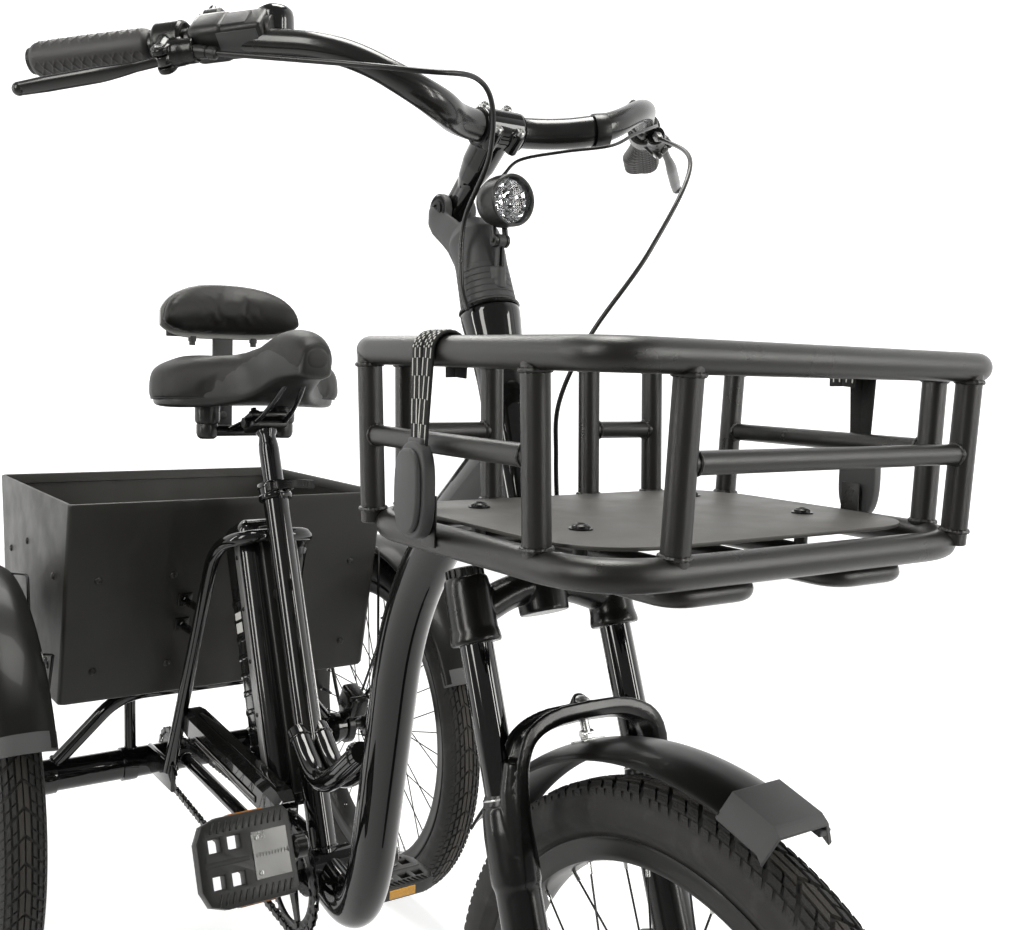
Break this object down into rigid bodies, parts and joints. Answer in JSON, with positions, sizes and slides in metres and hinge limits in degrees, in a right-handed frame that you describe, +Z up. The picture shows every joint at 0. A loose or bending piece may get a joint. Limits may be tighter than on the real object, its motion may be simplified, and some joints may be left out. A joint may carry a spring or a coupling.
{
  "type": "electric cargo tricycle",
  "caption": "Black electric cargo trike with a tube basket over the front wheel, a sheet-metal box between the rear wheels, a telescopic fork and a saddle with a backrest.",
  "frame": {"origin": "On the ground, midway between the front and rear axles, in the middle plane.", "axes": "+X to the rider's left, +Y to the rear, +Z up."},
  "size_m": [0.8488, 1.782, 1.3213],
  "materials": {
    "rubber": "satin",
    "tyre": "matte",
    "gloss_black": "gloss",
    "satin_black": "satin",
    "box_paint": "satin",
    "bronze": "satin",
    "dark_metal": "satin",
    "bare_metal": "brushed",
    "black_plastic": "matte",
    "grey_plastic": "satin",
    "leather": "satin",
    "webbing": "woven"
  },
  "bodies": {
    "frame": {"head_tube": "gloss_black", "down_tube": "gloss_black", "seat_tube": "gloss_black", "bottom_bracket": "gloss_black", "frame_brace_left": "gloss_black", "frame_brace_right": "gloss_black", "battery_hoop": "gloss_black", "rear_stays": "gloss_black", "axle_housing": "gloss_black", "cargo_rack": "gloss_black", "cargo_box": "box_paint", "battery": "black_plastic", "chain": "dark_metal", "chain_cover": "gloss_black", "basket_frame": "bronze", "basket_floor": "box_paint", "basket_rack": "bronze", "strap_left": "webbing", "strap_right": "webbing", "rear_mudguard_left": "satin_black", "rear_mudguard_right": "satin_black", "seat_collar": "gloss_black"},
    "steering": {"fork_crown": "gloss_black", "stanchion_left": "bare_metal", "stanchion_right": "bare_metal", "stem_base": "satin_black", "front_brake_hose": "rubber"},
    "fork_lowers": {"fork_lowers": "satin_black", "front_mudguard": "gloss_black", "front_mudguard_flap": "grey_plastic", "front_caliper": "dark_metal"},
    "front_wheel": {"front_tyre": "tyre", "front_wheel": "dark_metal", "front_disc": "bare_metal"},
    "handlebar": {"stem_arm": "gloss_black", "handlebar": "gloss_black", "grip_left": "rubber", "grip_right": "rubber", "control_left": "satin_black", "control_right": "satin_black", "control_cable": "rubber"},
    "headlight": {"headlight": "black_plastic"},
    "brake_lever_left": {"brake_lever_left": "satin_black"},
    "brake_lever_right": {"brake_lever_right": "satin_black"},
    "thumb_lever": {"thumb_lever": "black_plastic"},
    "rear_wheel_left": {"rear_tyre_left": "tyre", "rear_wheel_left": "dark_metal"},
    "rear_wheel_right": {"rear_tyre_right": "tyre", "rear_wheel_right": "dark_metal"},
    "sprocket": {"rear_sprocket": "dark_metal"},
    "crank": {"crank_arm_left": "dark_metal", "crank_arm_right": "dark_metal"},
    "pedal_left": {"pedal_left": "black_plastic"},
    "pedal_right": {"pedal_right": "black_plastic"},
    "seat": {"seatpost": "gloss_black", "saddle_rails": "dark_metal", "saddle_cushion": "leather", "backrest_plate": "grey_plastic", "backrest_pad": "leather"},
    "seat_lever": {"seat_lever": "bare_metal"}
  },
  "joints": [
    {"name": "steering", "type": "hinge", "parent": "frame", "child": "steering", "pos_m": [0, -0.35254, 0.79053], "axis": [0, 0.354, 0.9353], "range_deg": [-45, 45]},
    {"name": "fork_travel", "type": "slide", "parent": "steering", "child": "fork_lowers", "axis": [0, 0.354, 0.9353], "range_m": [0, 0.045], "stiffness_N_per_m": 9000, "springref_m": -0.07},
    {"name": "front_wheel_spin", "type": "hinge", "parent": "fork_lowers", "child": "front_wheel", "pos_m": [0, -0.58, 0.311], "axis": [1, 0, 0], "continuous": true},
    {"name": "rear_wheel_left_spin", "type": "hinge", "parent": "frame", "child": "rear_wheel_left", "pos_m": [0.3425, 0.58, 0.311], "axis": [1, 0, 0], "continuous": true},
    {"name": "rear_wheel_right_spin", "type": "hinge", "parent": "frame", "child": "rear_wheel_right", "pos_m": [-0.3425, 0.58, 0.311], "axis": [1, 0, 0], "continuous": true},
    {"name": "crank_spin", "type": "hinge", "parent": "frame", "child": "crank", "pos_m": [0, 0.093, 0.294], "axis": [1, 0, 0], "continuous": true},
    {"name": "sprocket_spin", "type": "hinge", "parent": "frame", "child": "sprocket", "pos_m": [0, 0.58, 0.311], "axis": [1, 0, 0], "continuous": true},
    {"name": "pedal_left_spin", "type": "hinge", "parent": "crank", "child": "pedal_left", "pos_m": [0.095, 0.20978, 0.1967], "axis": [1, 0, 0], "continuous": true},
    {"name": "pedal_right_spin", "type": "hinge", "parent": "crank", "child": "pedal_right", "pos_m": [-0.095, -0.02378, 0.3913], "axis": [1, 0, 0], "continuous": true},
    {"name": "stem_tilt", "type": "hinge", "parent": "steering", "child": "handlebar", "pos_m": [0, -0.185, 1.14], "axis": [1, 0, 0], "range_deg": [-25, 0]},
    {"name": "headlight_tilt", "type": "hinge", "parent": "steering", "child": "headlight", "pos_m": [0, -0.277, 1.102], "axis": [1, 0, 0], "range_deg": [-10, 15]},
    {"name": "brake_lever_left_squeeze", "type": "hinge", "parent": "handlebar", "child": "brake_lever_left", "pos_m": [0.31217, -0.17004, 1.25085], "axis": [0.5294, -0.4142, 0.7404], "range_deg": [0, 12], "stiffness_Nm_per_rad": 1.2, "springref_deg": -8.59},
    {"name": "brake_lever_right_squeeze", "type": "hinge", "parent": "handlebar", "child": "brake_lever_right", "pos_m": [-0.31217, -0.17004, 1.25085], "axis": [0.5294, 0.4142, -0.7404], "range_deg": [0, 12], "stiffness_Nm_per_rad": 1.2, "springref_deg": -8.59},
    {"name": "thumb_lever_push", "type": "hinge", "parent": "handlebar", "child": "thumb_lever", "pos_m": [-0.26525, -0.15472, 1.29297], "axis": [-0.6855, 0.723, -0.0857], "range_deg": [-5, 30], "stiffness_Nm_per_rad": 0.2, "springref_deg": -11.46},
    {"name": "seat_height", "type": "slide", "parent": "frame", "child": "seat", "axis": [0, 0.3568, 0.9342], "range_m": [-0.03, 0.1]},
    {"name": "seat_lever_swing", "type": "hinge", "parent": "frame", "child": "seat_lever", "pos_m": [-0.017, 0.25301, 0.79414], "axis": [0, -0.3568, -0.9342], "range_deg": [0, 120]}
  ],
  "couplings": [
    {"joint": "sprocket_spin", "follows": "crank_spin", "ratio": 1.7}
  ]
}
